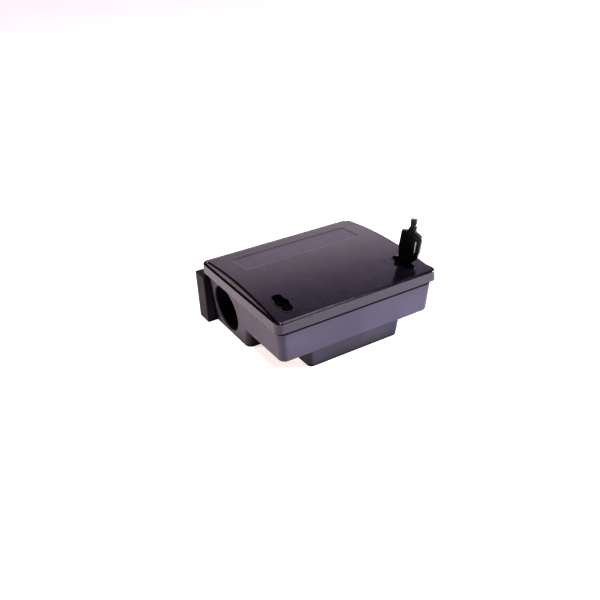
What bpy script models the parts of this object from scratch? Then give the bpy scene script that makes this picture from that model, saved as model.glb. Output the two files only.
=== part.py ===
"""Rodent bait station: a drafted plastic base with a cross tunnel, guide wings and a
bait well, a hinged arched lid with two keyed quarter-turn locks, a lift-out bait tray,
two bait rods with their blocks, a tunnel baffle and the key standing in the right lock.

Metres, +Z up.  The front wall faces -Y.  The origin is on the ground, under the middle
of the plan.  Sizes below are millimetres and pass through mm().
"""
import math

import bmesh
import bpy
from mathutils import Matrix, Vector

# ---- driving sizes, millimetres -------------------------------------------------------
LID_WIDTH = 235.0          # over the bead at the foot of the lid's skirt
LID_DEPTH = 204.0
FRONT = -108.0             # y of the lid's front
GAP = 0.3                  # between pieces that rest on each other

SKIRT_BOTTOM = 72.0
SKIRT_TOP = 86.3
SKIRT_INSET = 0.7
SKIRT_INNER_INSET = 2.5
LID_CORNER = 9.5

ROOF_CROWN = 95.2
ROOF_CREST = 114.0         # the arch's highest line, behind the lid's front
ROOF_RADIUS = 590.0
ROOF_FRONT = 2.0
ROOF_REAR = 193.5
GABLE_INSET = 1.9
ROOF_CORNER = 7.0
ROOF_WALL = 2.4

SHELF_LEVEL = 27.4         # underside of the raised front part of the base
RIM_LEVEL = 81.8
WALL = 2.5
DRAFT = 0.079              # how fast the base walls lean in, per unit of height
INSET_AT_SKIRT = 3.7       # base wall behind the lid's outline, at the skirt's foot
BASE_CORNER = 9.5

TUNNEL_FRONT_LOW = 98.7    # behind the lid's front
TUNNEL_FRONT_HIGH = 94.0
WELL_HALF_WIDTH = 67.2
WELL_SET_BACK = 16.6
WELL_DRAFT = 2.8
HOLE_RADIUS = 31.5
HOLE_BEHIND_FRONT = 149.8
HOLE_HEIGHT = 36.7

WING_HALF_WIDTH = 121.8
WING_FRONT = 189.5
LEDGE_REAR = 216.0
LEDGE_TOP = 68.2

HINGE_X = 60.0
HINGE_BEHIND_FRONT = 209.8
HINGE_HEIGHT = 75.0
KNUCKLE_RADIUS = 4.5
PIN_RADIUS = 2.0

LOCK_X = 89.8
LOCK_BEHIND_FRONT = 36.0
KEYHOLE_LENGTH = 35.2
KEYHOLE_WIDTH = 13.6
KEYHOLE_EYE = 18.0
KEYHOLE_CORNER = 5.5
CUP_FLOOR = 76.0
CUP_WALL = 2.0
BARREL_TOP = 80.3
BARREL_FOOT = 66.5
BARREL_RADIUS = 7.3
GROOVE_RADIUS = 6.1
BIT_DEPTH = 3.6            # how far the key's flat bit reaches into the barrel
TONGUE_THICKNESS = 3.0
TONGUE_REACH = 17.0
TONGUE_HALF_WIDTH = 4.4
HUB_RADIUS = 7.2
CLIP_RADIUS = 9.6
CATCH_LEVEL = 67.3         # underside of the lip that the tongue turns under
LIP_THICKNESS = 2.3
KEEPER_BACK = 22.0         # from the lock's axis to the keeper's outer face
KEEPER_THICKNESS = 3.0
KEEPER_FOOT = 12.0
STAKE_RADIUS = 1.5

KEY_TURN = math.radians(-60.4)   # the key's blade direction, from +X
KEY_SEAT = 91.7            # foot of the key's grip, just over the roof
KEY_THICKNESS = 5.0

LABEL_HALF_WIDTH = 86.5
LABEL_FRONT = 128.0
LABEL_REAR = 169.0
LABEL_DEPTH = 0.5

ROD_HEIGHT = 48.0
ROD_RADIUS = 2.0
ROD_POST_X = 73.5
ROD_BEHIND_FRONT = {"front": 50.0, "rear": 80.0}
BLOCK_X = 30.0
BLOCK_SIZE = (38.0, 24.0, 26.0)

BAFFLE_BEHIND_FRONT = 104.2
BAFFLE_THICKNESS = 2.4

PARTS = "bait_station"
CUTTERS = "cutters"


def mm(*values):
    """Millimetres to metres: one value, or a tuple of them."""
    scaled = tuple(value * 0.001 for value in values)
    return scaled[0] if len(scaled) == 1 else scaled


def base_inset(z):
    """How far the base's outer wall lies inside the lid's outline at height z."""
    return INSET_AT_SKIRT + (SKIRT_BOTTOM - z) * DRAFT


# ---- scene and materials --------------------------------------------------------------
def start_scene():
    for thing in list(bpy.data.objects):
        bpy.data.objects.remove(thing, do_unlink=True)
    for name in (PARTS, CUTTERS):
        group = bpy.data.collections.new(name)
        bpy.context.scene.collection.children.link(group)


def plastic(name, colour, roughness, metallic=0.0):
    material = bpy.data.materials.new(name)
    material.use_nodes = True
    shader = material.node_tree.nodes["Principled BSDF"]
    shader.inputs["Base Color"].default_value = (*colour, 1.0)
    shader.inputs["Roughness"].default_value = roughness
    shader.inputs["Metallic"].default_value = metallic
    return material


def add_object(name, mesh, group=PARTS):
    thing = bpy.data.objects.new(name, mesh)
    bpy.data.collections[group].objects.link(thing)
    if group == CUTTERS:
        thing.hide_render = True
        thing.display_type = "WIRE"
    return thing


def finish(thing, colour, roughness, metallic=0.0):
    """Give a piece its material and shade its round faces smooth."""
    thing.data.materials.clear()
    thing.data.materials.append(plastic(thing.name, colour, roughness, metallic))
    thing.data.shade_smooth()
    thing.data.set_sharp_from_angle(angle=math.radians(35))
    return thing


# ---- simple solids --------------------------------------------------------------------
def mesh_from(bm, name):
    bmesh.ops.recalc_face_normals(bm, faces=bm.faces)
    mesh = bpy.data.meshes.new(name)
    bm.to_mesh(mesh)
    bm.free()
    return mesh


def drafted_box(name, z_low, z_high, low, high=None, corner=0.0, segments=5, group=CUTTERS):
    """A box from a cube: plan (x0, x1, y0, y1) at its foot and its top, upright edges rounded."""
    high = high or low
    bm = bmesh.new()
    bmesh.ops.create_cube(bm, size=1.0)
    for vert in bm.verts:
        plan = high if vert.co.z > 0 else low
        x = plan[1] if vert.co.x > 0 else plan[0]
        y = plan[3] if vert.co.y > 0 else plan[2]
        z = z_high if vert.co.z > 0 else z_low
        vert.co = mm(x, y, z)
    if corner > 0:
        upright = [e for e in bm.edges if e.verts[0].co.z != e.verts[1].co.z]
        bmesh.ops.bevel(bm, geom=upright, offset=mm(corner), segments=segments,
                        profile=0.5, affect="EDGES")
    return add_object(name, mesh_from(bm, name), group)


def cylinder(name, radius, start, end, segments=32, group=CUTTERS):
    """A round bar between two points."""
    a, b = Vector(mm(*start)), Vector(mm(*end))
    bm = bmesh.new()
    bmesh.ops.create_cone(bm, cap_ends=True, segments=segments, radius1=mm(radius),
                          radius2=mm(radius), depth=(b - a).length)
    turn = (b - a).to_track_quat("Z", "Y").to_matrix().to_4x4()
    bmesh.ops.transform(bm, matrix=Matrix.Translation((a + b) / 2) @ turn, verts=bm.verts)
    return add_object(name, mesh_from(bm, name), group)


def turned(name, profile, centre, group=PARTS, steps=32):
    """A turned piece: profile (radius, z) from the axis, out, down and back to the axis."""
    bm = bmesh.new()
    verts = [bm.verts.new(mm(r, 0.0, z)) for r, z in profile]
    for first, second in zip(verts, verts[1:]):
        bm.edges.new((first, second))
    mesh = bpy.data.meshes.new(name)
    bm.to_mesh(mesh)
    bm.free()
    thing = add_object(name, mesh, group)
    screw = thing.modifiers.new("turn", "SCREW")
    screw.axis = "Z"
    screw.steps = steps
    screw.render_steps = steps
    screw.use_merge_vertices = True
    screw.merge_threshold = 0.00001
    bake(thing)
    thing.data.transform(Matrix.Translation(mm(centre[0], centre[1], 0.0)))
    return thing


def outline_plate(name, outlines, thickness, matrix, group=PARTS):
    """A flat plate from closed outlines (the first outside, the rest holes), in metres."""
    curve = bpy.data.curves.new(name, "CURVE")
    curve.dimensions = "2D"
    curve.fill_mode = "BOTH"
    curve.extrude = mm(thickness) / 2
    for outline in outlines:
        spline = curve.splines.new("POLY")
        spline.points.add(len(outline) - 1)
        for point, (u, v) in zip(spline.points, outline):
            point.co = (*mm(u, v, 0.0), 1.0)
        spline.use_cyclic_u = True
    flat = bpy.data.objects.new(name + "_outline", curve)
    bpy.data.collections[CUTTERS].objects.link(flat)
    graph = bpy.context.evaluated_depsgraph_get()
    mesh = bpy.data.meshes.new_from_object(flat.evaluated_get(graph))
    bpy.data.objects.remove(flat, do_unlink=True)
    bm = bmesh.new()
    bm.from_mesh(mesh)
    bmesh.ops.remove_doubles(bm, verts=bm.verts, dist=0.00001)
    bmesh.ops.transform(bm, matrix=matrix, verts=bm.verts)
    bpy.data.meshes.remove(mesh)
    return add_object(name, mesh_from(bm, name), group)


def roof_level(behind_front):
    """Height of the roof's arched top at a distance behind the lid's front."""
    reach = behind_front - ROOF_CREST
    return ROOF_CROWN - ROOF_RADIUS + math.sqrt(ROOF_RADIUS * ROOF_RADIUS - reach * reach)


def arch_block(name, below, steps=28):
    """A block whose top follows the roof's arch at a distance below it."""
    foot = 60.0
    margin = 6.0
    half = LID_WIDTH / 2 + margin
    bm = bmesh.new()
    ring = []
    for i in range(steps + 1):
        behind = -margin + (LID_DEPTH + 2 * margin) * i / steps
        ring.append(bm.verts.new(mm(-half, FRONT + behind, roof_level(behind) - below)))
    for behind in (LID_DEPTH + margin, -margin):
        ring.append(bm.verts.new(mm(-half, FRONT + behind, foot)))
    face = bm.faces.new(ring)
    side = bmesh.ops.extrude_face_region(bm, geom=[face])
    moved = [v for v in side["geom"] if isinstance(v, bmesh.types.BMVert)]
    bmesh.ops.translate(bm, verts=moved, vec=mm(2 * half, 0.0, 0.0))
    return add_object(name, mesh_from(bm, name), CUTTERS)


# ---- joining and cutting --------------------------------------------------------------
def bake(thing):
    """Replace an object's mesh by what its modifiers make of it."""
    graph = bpy.context.evaluated_depsgraph_get()
    mesh = bpy.data.meshes.new_from_object(thing.evaluated_get(graph))
    thing.modifiers.clear()
    thing.data = mesh


def boolean(thing, other, operation):
    """Apply one exact Boolean and remove the object it used."""
    change = thing.modifiers.new(operation.lower(), "BOOLEAN")
    change.operation = operation
    change.solver = "EXACT"
    change.object = other
    bake(thing)
    bpy.data.objects.remove(other, do_unlink=True)
    return thing


def cut(thing, *others):
    for other in others:
        boolean(thing, other, "DIFFERENCE")
    return thing


def join(thing, *others):
    for other in others:
        boolean(thing, other, "UNION")
    return thing


def as_part(thing, name):
    """Name a finished solid and move it to the parts collection."""
    bpy.data.collections[CUTTERS].objects.unlink(thing)
    bpy.data.collections[PARTS].objects.link(thing)
    thing.hide_render = False
    thing.display_type = "TEXTURED"
    thing.name = name
    thing.data.name = name
    return thing


def pivot(thing, x, y, z):
    """Put a piece's origin on its joint's axis without moving the piece."""
    point = Vector(mm(x, y, z))
    thing.data.transform(Matrix.Translation(-point))
    thing.location = point
    return thing


# ---- base -----------------------------------------------------------------------------
def lid_plan(inset):
    """The lid's outline drawn in by an inset: x0, x1, y0, y1."""
    side = LID_WIDTH / 2 - inset
    return (-side, side, FRONT + inset, FRONT + LID_DEPTH - inset)


def roof_plan(inset):
    """The arched roof's outline drawn in by an inset."""
    side = LID_WIDTH / 2 - GABLE_INSET - inset
    return (-side, side, FRONT + ROOF_FRONT + inset, FRONT + ROOF_REAR - inset)


def tunnel_plan(z, wall):
    """The tunnel's outline at height z, drawn in by a wall thickness."""
    inset = base_inset(z) + 0.05 + wall
    x0, x1, _, y1 = lid_plan(inset)
    lean = (TUNNEL_FRONT_LOW - TUNNEL_FRONT_HIGH) * min(z / SHELF_LEVEL, 1.1)
    return (x0, x1, FRONT + TUNNEL_FRONT_LOW - lean + wall, y1)


def well_plan(z, wall):
    """The bait well's outline at height z; its rear end lies inside the tunnel."""
    grow = WELL_DRAFT * z / SHELF_LEVEL
    side = WELL_HALF_WIDTH + grow - wall
    return (-side, side, FRONT + WELL_SET_BACK - grow + wall, FRONT + 112.0)


def shell_body():
    """The outer form: drafted body, well, tunnel and the rear ledge with its wings."""
    body = drafted_box("body", SHELF_LEVEL, RIM_LEVEL, lid_plan(base_inset(SHELF_LEVEL)),
                       lid_plan(base_inset(RIM_LEVEL)), BASE_CORNER)
    top = SHELF_LEVEL + 2.0
    tunnel = drafted_box("tunnel", 0.0, top, tunnel_plan(0, 0), tunnel_plan(top, 0), 9.0)
    well = drafted_box("well", 0.0, top, well_plan(0, 0), well_plan(top, 0), 6.0)
    side = WING_HALF_WIDTH
    ledge = drafted_box("ledge", 0.0, LEDGE_TOP,
                        (-side, side, FRONT + WING_FRONT, FRONT + LEDGE_REAR),
                        corner=2.0, segments=3)
    return join(body, tunnel, well, ledge)


def hollow_body(body):
    """Open the chamber, the tunnel, the well, the ledge's underside and the two entries."""
    floor = SHELF_LEVEL + WALL
    top = RIM_LEVEL + 5.0
    chamber = drafted_box("chamber", floor, top, lid_plan(base_inset(floor) + WALL),
                          lid_plan(base_inset(top) + WALL), BASE_CORNER - WALL)
    low, high = WALL, floor + 1.2
    tunnel = drafted_box("bore", low, high, tunnel_plan(low, WALL), tunnel_plan(high, WALL), 6.5)
    well = drafted_box("pit", low, high, well_plan(low, WALL), well_plan(high, WALL), 3.5)
    hollow = drafted_box("ledge_hollow", -1.0, LEDGE_TOP - WALL,
                         (-WING_HALF_WIDTH + WALL, WING_HALF_WIDTH - WALL,
                          FRONT + 202.0, FRONT + LEDGE_REAR - WALL))
    y = FRONT + HOLE_BEHIND_FRONT
    entries = cylinder("entries", HOLE_RADIUS, (-130, y, HOLE_HEIGHT), (130, y, HOLE_HEIGHT), 48)
    cut(body, chamber, tunnel, well, hollow, entries)
    for x in (-80.0, 80.0):
        cut(body, cylinder("anchor", 2.75, (x, y, -1), (x, y, 5), 20))
    return body


def hinge_ear(x_low, x_high):
    """One upright ear on the ledge, round about the hinge axis."""
    y = FRONT + HINGE_BEHIND_FRONT
    r = KNUCKLE_RADIUS
    ear = cylinder("ear", r, (x_low, y, HINGE_HEIGHT), (x_high, y, HINGE_HEIGHT), 24)
    foot = drafted_box("ear_foot", LEDGE_TOP - 1.5, HINGE_HEIGHT,
                       (x_low, x_high, y - r, y + r))
    return join(ear, foot)


def keeper_stake(side):
    """A stake on the shelf that the keeper's foot drops over."""
    x = side * (LOCK_X - KEEPER_BACK + KEEPER_FOOT - 4.0)
    y = FRONT + LOCK_BEHIND_FRONT
    return cylinder("stake", STAKE_RADIUS, (x, y, SHELF_LEVEL + 1.0),
                    (x, y, SHELF_LEVEL + WALL + 3.0), 20)


def rod_post(side, y):
    """A post with an open notch that a bait rod drops into."""
    xs = (side * ROD_POST_X - 1.5, side * ROD_POST_X + 1.5)
    post = drafted_box("rod_post", SHELF_LEVEL + 1.0, ROD_HEIGHT + 6.0, (*xs, y - 6, y + 6))
    width = ROD_RADIUS + GAP
    notch = drafted_box("notch", ROD_HEIGHT, ROD_HEIGHT + 8.0,
                        (xs[0] - 1, xs[1] + 1, y - width, y + width))
    seat = cylinder("seat", width, (xs[0] - 1, y, ROD_HEIGHT), (xs[1] + 1, y, ROD_HEIGHT), 16)
    return cut(post, notch, seat)


def baffle_rib(side, y_low, y_high):
    """An upright rib on the side wall; two of them hold one end of the baffle."""
    plans = []
    for z in (36.0, 72.0):
        wall = LID_WIDTH / 2 - base_inset(z)
        xs = sorted((side * (wall - 1.2), side * (wall - WALL - 4.0)))
        plans.append((*xs, y_low, y_high))
    return drafted_box("rib", 36.0, 72.0, plans[0], plans[1])


def make_base():
    base = hollow_body(shell_body())
    for x in (-HINGE_X, HINGE_X):
        join(base, hinge_ear(x - 12.4, x - 7.4), hinge_ear(x + 7.4, x + 12.4))
    y = FRONT + HINGE_BEHIND_FRONT
    for x in (-HINGE_X, HINGE_X):
        cut(base, cylinder("pin_bore", PIN_RADIUS + 0.2, (x - 14, y, HINGE_HEIGHT),
                           (x + 14, y, HINGE_HEIGHT), 20))
    baffle_y = FRONT + BAFFLE_BEHIND_FRONT
    slot = BAFFLE_THICKNESS / 2 + GAP
    for side in (-1, 1):
        join(base, keeper_stake(side))
        for behind in ROD_BEHIND_FRONT.values():
            join(base, rod_post(side, FRONT + behind))
        join(base, baffle_rib(side, baffle_y - slot - 2.2, baffle_y - slot),
             baffle_rib(side, baffle_y + slot, baffle_y + slot + 2.2))
    return finish(as_part(base, "base"), (0.035, 0.034, 0.038), 0.55)


# ---- lid ------------------------------------------------------------------------------
def keyhole_form(name, x, grow, z_low, z_high):
    """The keyhole's form: a long slot with rounded corners and a round eye in its middle."""
    y = FRONT + LOCK_BEHIND_FRONT
    half = KEYHOLE_WIDTH / 2 + grow
    reach = KEYHOLE_LENGTH / 2 + grow
    slot = drafted_box(name, z_low, z_high, (x - half, x + half, y - reach, y + reach),
                       corner=KEYHOLE_CORNER + grow * 0.5, segments=6)
    eye = cylinder(name + "_eye", KEYHOLE_EYE / 2 + grow, (x, y, z_low), (x, y, z_high), 32)
    return join(slot, eye)


def roof_shell():
    """Arched roof inside a low rim, over a skirt with a bead at its foot; hollow underneath."""
    tall = ROOF_CROWN + 6.0
    skirt = drafted_box("skirt", SKIRT_BOTTOM, SKIRT_TOP, lid_plan(SKIRT_INSET),
                        corner=LID_CORNER - SKIRT_INSET, segments=6)
    bead = drafted_box("bead", SKIRT_BOTTOM - 0.01, SKIRT_BOTTOM + 1.5, lid_plan(0.0),
                       corner=LID_CORNER, segments=6)
    roof = drafted_box("roof", SKIRT_BOTTOM + 6.0, tall, roof_plan(0.0), corner=ROOF_CORNER,
                       segments=6)
    over = drafted_box("over", SKIRT_TOP - 4.0, tall, roof_plan(0.0), corner=ROOF_CORNER,
                       segments=6)
    cut(over, arch_block("under_arch", 0.0))
    boolean(roof, arch_block("arch", 0.0), "INTERSECT")
    join(skirt, bead, roof)
    cut(skirt, over)
    low = drafted_box("low_hollow", SKIRT_BOTTOM - 2.0, SKIRT_TOP - ROOF_WALL,
                      lid_plan(SKIRT_INNER_INSET), corner=LID_CORNER - SKIRT_INNER_INSET)
    high = drafted_box("high_hollow", SKIRT_BOTTOM - 1.0, tall, roof_plan(ROOF_WALL),
                       corner=ROOF_CORNER - ROOF_WALL)
    join(low, high)
    boolean(low, arch_block("arch_in", ROOF_WALL), "INTERSECT")
    return cut(skirt, low)


def lock_cup(lid, x):
    """The sunk keyhole: a cup under the roof with a hole in its floor for the barrel."""
    y = FRONT + LOCK_BEHIND_FRONT
    cup = keyhole_form("cup", x, CUP_WALL, CUP_FLOOR, ROOF_CROWN + 4.0)
    boolean(cup, arch_block("cup_top", 0.8), "INTERSECT")
    join(lid, cup)
    cut(lid, keyhole_form("keyhole", x, 0.0, CUP_FLOOR + CUP_WALL, ROOF_CROWN + 6.0),
        cylinder("barrel_hole", BARREL_RADIUS + GAP, (x, y, CUP_FLOOR - 1),
                 (x, y, CUP_FLOOR + CUP_WALL + 1), 32))


def hinge_knuckle(x):
    """The lid's knuckle between two ears of the base, and its arm to the rear skirt."""
    y = FRONT + HINGE_BEHIND_FRONT
    barrel = cylinder("knuckle", KNUCKLE_RADIUS, (x - 7, y, HINGE_HEIGHT),
                      (x + 7, y, HINGE_HEIGHT), 24)
    rear = FRONT + LID_DEPTH - SKIRT_INSET - 1.0
    arm = drafted_box("arm", HINGE_HEIGHT - 2.4, HINGE_HEIGHT + 4.2, (x - 6.9, x + 6.9, rear, y))
    return join(barrel, arm)


def make_lid():
    lid = roof_shell()
    for x in (-LOCK_X, LOCK_X):
        lock_cup(lid, x)
    y = FRONT + HINGE_BEHIND_FRONT
    for x in (-HINGE_X, HINGE_X):
        join(lid, hinge_knuckle(x))
        cut(lid, cylinder("bore", PIN_RADIUS + 0.3, (x - 9, y, HINGE_HEIGHT),
                          (x + 9, y, HINGE_HEIGHT), 20))
    label = drafted_box("label", 80.0, ROOF_CROWN + 6.0,
                        (-LABEL_HALF_WIDTH, LABEL_HALF_WIDTH,
                         FRONT + LABEL_FRONT, FRONT + LABEL_REAR), corner=1.5, segments=2)
    cut(label, arch_block("label_floor", LABEL_DEPTH))
    cut(lid, label)
    finish(as_part(lid, "lid"), (0.012, 0.011, 0.014), 0.22)
    return pivot(lid, 0.0, y, HINGE_HEIGHT)


# ---- hinge pins -----------------------------------------------------------------------
def make_hinge_pin(name, x, side):
    """A headed steel pin, its head on the outer ear."""
    r = PIN_RADIUS
    head, head_top, head_foot, end = 3.4, 14.0, 12.8, -13.0
    profile = [(0, head_top), (head, head_top), (head, head_foot), (r, head_foot), (r, end), (0, end)]
    pin = turned(name, profile, (0.0, 0.0), steps=20)
    pin.data.transform(Matrix.Rotation(math.radians(90 * side), 4, "Y"))
    finish(pin, (0.55, 0.55, 0.56), 0.3, 1.0)
    pin.location = mm(x, FRONT + HINGE_BEHIND_FRONT, HINGE_HEIGHT)
    return pin


# ---- locks ----------------------------------------------------------------------------
def make_barrel(name, x):
    """A lock barrel: head in the cup, clip groove, key socket and square drive."""
    y = FRONT + LOCK_BEHIND_FRONT
    socket = BARREL_TOP - 8.5
    head = KEYHOLE_EYE / 2 - GAP
    seat = CUP_FLOOR + CUP_WALL + GAP
    groove_high, groove_low = CUP_FLOOR - GAP, CUP_FLOOR - 2.4
    profile = [(0, socket), (4.4, socket), (4.4, BARREL_TOP), (head, BARREL_TOP),
               (head, seat), (BARREL_RADIUS, seat), (BARREL_RADIUS, groove_high),
               (GROOVE_RADIUS, groove_high), (GROOVE_RADIUS, groove_low),
               (BARREL_RADIUS, groove_low), (BARREL_RADIUS, BARREL_FOOT), (0, BARREL_FOOT)]
    barrel = turned(name, profile, (x, y))
    drive = drafted_box("drive", BARREL_FOOT - TONGUE_THICKNESS, BARREL_FOOT + 1.0,
                        (x - 3.5, x + 3.5, y - 3.5, y + 3.5))
    slot = drafted_box("slot", BARREL_TOP - BIT_DEPTH - GAP, BARREL_TOP + 1.0,
                       (-6.9, 6.9, -1.9, 1.9))
    slot.data.transform(Matrix.Translation(mm(x, y, 0.0)) @ Matrix.Rotation(KEY_TURN, 4, "Z"))
    join(barrel, drive)
    cut(barrel, slot, cylinder("tap", 1.8, (x, y, BARREL_FOOT - 4), (x, y, BARREL_FOOT + 3.5), 16))
    finish(barrel, (0.02, 0.02, 0.022), 0.45)
    return pivot(barrel, x, y, BARREL_FOOT)


def make_clip(name, x):
    """A split ring in the barrel's groove, under the cup's floor."""
    y = FRONT + LOCK_BEHIND_FRONT
    low, high = CUP_FLOOR - 2.1, CUP_FLOOR - 2 * GAP
    ring = cylinder("ring", CLIP_RADIUS, (x, y, low), (x, y, high), 32)
    cut(ring, cylinder("inside", GROOVE_RADIUS + GAP, (x, y, low - 1), (x, y, high + 1), 32),
        drafted_box("split", low - 1, high + 1, (x - 2.5, x + 2.5, y, y + 14)))
    finish(as_part(ring, name), (0.5, 0.5, 0.5), 0.35, 1.0)
    return pivot(ring, x, y, BARREL_FOOT)


def make_tongue(name, x):
    """The locking tongue on the barrel's square drive, pointing to the rear when open."""
    y = FRONT + LOCK_BEHIND_FRONT
    low, high = BARREL_FOOT - TONGUE_THICKNESS, BARREL_FOOT - GAP
    hub = cylinder("hub", HUB_RADIUS, (x, y, low), (x, y, high), 28)
    arm = (x - TONGUE_HALF_WIDTH, x + TONGUE_HALF_WIDTH, y, y + TONGUE_REACH)
    join(hub, drafted_box("arm", low + 0.01, high - 0.01, arm, corner=1.5, segments=2))
    cut(hub, drafted_box("square", low - 1, high + 1, (x - 3.8, x + 3.8, y - 3.8, y + 3.8)))
    finish(as_part(hub, name), (0.6, 0.6, 0.6), 0.35, 1.0)
    return pivot(hub, x, y, BARREL_FOOT)


def make_keeper(name, side):
    """A bracket staked to the shelf, with a lip that the lock's tongue turns under."""
    y = FRONT + LOCK_BEHIND_FRONT
    back = LOCK_X - KEEPER_BACK
    low = SHELF_LEVEL + WALL
    top = CATCH_LEVEL + LIP_THICKNESS
    xs = sorted((side * back, side * (back + KEEPER_THICKNESS)))
    keeper = drafted_box("post", low, top + 0.3, (*xs, y - 7, y + 7))
    xs = sorted((side * (back + 1.0), side * (back + KEEPER_FOOT)))
    foot = drafted_box("foot", low, low + 2.0, (*xs, y - 6.5, y + 6.5))
    xs = sorted((side * (back + 1.0), side * (LOCK_X - 10.5)))
    join(keeper, foot, drafted_box("lip", CATCH_LEVEL, top, (*xs, y - 5.5, y + 5.5)))
    x = side * (back + KEEPER_FOOT - 4.0)
    cut(keeper, cylinder("hole", STAKE_RADIUS + 0.2, (x, y, low - 1), (x, y, low + 3), 20))
    return finish(as_part(keeper, name), (0.02, 0.02, 0.022), 0.45)


def make_lock_screw(name, x):
    """The screw that holds the tongue on the barrel."""
    y = FRONT + LOCK_BEHIND_FRONT
    top = BARREL_FOOT - TONGUE_THICKNESS - GAP
    profile = [(0, BARREL_FOOT + 2.6), (1.5, BARREL_FOOT + 2.6), (1.5, top), (5.0, top),
               (5.0, top - 1.2), (4.0, top - 2.2), (0, top - 2.2)]
    screw = turned(name, profile, (x, y), steps=24)
    cut(screw, drafted_box("cross_a", top - 3.2, top - 1.2, (x - 2.6, x + 2.6, y - 0.5, y + 0.5)),
        drafted_box("cross_b", top - 3.3, top - 1.3, (x - 0.5, x + 0.5, y - 2.6, y + 2.6)))
    finish(screw, (0.6, 0.6, 0.6), 0.3, 1.0)
    return pivot(screw, x, y, BARREL_FOOT)


def key_outlines():
    """The key's flat outline above the lid (u across, v up) and the slot in it."""
    outline = [(-6.0, 0.0), (10.5, 0.0), (14.0, 2.5), (19.6, 7.5), (20.8, 14.0), (22.5, 24.0),
               (24.1, 34.4), (23.1, 37.6), (16.3, 42.4), (15.6, 45.5), (16.5, 47.2),
               (16.5, 48.8), (15.2, 50.0), (15.0, 52.0), (16.4, 53.5), (16.4, 59.6),
               (9.2, 59.6), (9.2, 51.6), (7.2, 48.2), (6.0, 44.2), (-2.3, 43.4), (-4.2, 31.3),
               (-5.6, 24.0), (-5.5, 7.0), (-10.6, 6.0), (-10.6, 0.6)]
    slot = [(14.1, 13.2), (15.3, 12.8), (17.5, 30.0), (16.7, 31.0), (15.8, 29.2)]
    return [outline, slot]


def make_key():
    """The key in the right lock: a grip plate, a round shank and a flat bit."""
    x, y = LOCK_X, FRONT + LOCK_BEHIND_FRONT
    turn = Matrix.Rotation(KEY_TURN, 4, "Z")
    stand = Matrix.Rotation(math.radians(90), 4, "X")
    place = Matrix.Translation(mm(x, y, KEY_SEAT))
    key = outline_plate("key", key_outlines(), KEY_THICKNESS, place @ turn @ stand)
    foot = BARREL_TOP - 8.0
    shank = cylinder("shank", 3.9, (x, y, foot), (x, y, KEY_SEAT + 2.0), 24)
    bit = drafted_box("bit", BARREL_TOP - BIT_DEPTH, BARREL_TOP + 1.5, (-6.4, 6.4, -1.5, 1.5))
    bit.data.transform(Matrix.Translation(mm(x, y, 0.0)) @ turn)
    join(key, shank, bit)
    finish(key, (0.01, 0.01, 0.012), 0.4)
    return pivot(key, x, y, BARREL_FOOT)


# ---- inside ---------------------------------------------------------------------------
def make_tray():
    """The lift-out bait tray that stands in the well."""
    low, high = WALL + GAP, 23.0
    front, rear = FRONT + 20.5, FRONT + 95.0
    tray = drafted_box("tray", low, high, (-61.5, 61.5, front, rear),
                       (-63, 63, front - 1, rear + 1), 5.0)
    cut(tray, drafted_box("inside", low + 2.0, high + 1, (-59.5, 59.5, front + 2, rear - 2),
                          (-61, 61, front + 1, rear - 1), 3.5))
    for side in (-1, 1):
        xs = sorted((side * 40.0, side * 62.0))
        tab = drafted_box("tab", high - 2.2, high - 0.2, (*xs, FRONT + 52, FRONT + 66), corner=3.0)
        finger = drafted_box("finger", high - 4, high + 2, (*sorted((side * 43, side * 56)),
                                                          FRONT + 55, FRONT + 63), corner=2.5)
        join(tray, cut(tab, finger))
    return finish(as_part(tray, "bait_tray"), (0.03, 0.03, 0.033), 0.5)


def make_rod(name, y):
    """A bait rod: a steel wire across the well with one end turned up."""
    bend = 6.0
    curve = bpy.data.curves.new(name, "CURVE")
    curve.dimensions = "3D"
    curve.bevel_depth = mm(ROD_RADIUS)
    curve.bevel_resolution = 2
    curve.use_fill_caps = True
    route = [(-82.0, ROD_HEIGHT), (-40.0, ROD_HEIGHT), (0.0, ROD_HEIGHT), (40.0, ROD_HEIGHT)]
    for i in range(7):
        angle = math.radians(15 * i)
        route.append((77.0 + bend * math.sin(angle), ROD_HEIGHT + bend - bend * math.cos(angle)))
    route.append((83.0, ROD_HEIGHT + 12.0))
    spline = curve.splines.new("POLY")
    spline.points.add(len(route) - 1)
    for point, (x, z) in zip(spline.points, route):
        point.co = (*mm(x, y, z), 1.0)
    rod = bpy.data.objects.new(name, curve)
    bpy.data.collections[PARTS].objects.link(rod)
    graph = bpy.context.evaluated_depsgraph_get()
    bm = bmesh.new()
    mesh = bpy.data.meshes.new_from_object(rod.evaluated_get(graph))
    bm.from_mesh(mesh)
    bmesh.ops.remove_doubles(bm, verts=bm.verts, dist=0.00001)
    bpy.data.objects.remove(rod, do_unlink=True)
    bpy.data.meshes.remove(mesh)
    solid = add_object(name, mesh_from(bm, name))
    return finish(solid, (0.6, 0.6, 0.62), 0.25, 1.0)


def make_block(name, x, y):
    """A bait block with a hole along it for the rod."""
    length, width, height = BLOCK_SIZE
    block = drafted_box("block", ROD_HEIGHT - height / 2, ROD_HEIGHT + height / 2,
                        (x - length / 2, x + length / 2, y - width / 2, y + width / 2))
    bevel = block.modifiers.new("edges", "BEVEL")
    bevel.width = mm(2.0)
    bevel.segments = 2
    bake(block)
    cut(block, cylinder("hole", ROD_RADIUS + 0.4, (x - length, y, ROD_HEIGHT),
                        (x + length, y, ROD_HEIGHT), 16))
    return finish(as_part(block, name), (0.02, 0.12, 0.30), 0.6)


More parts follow.
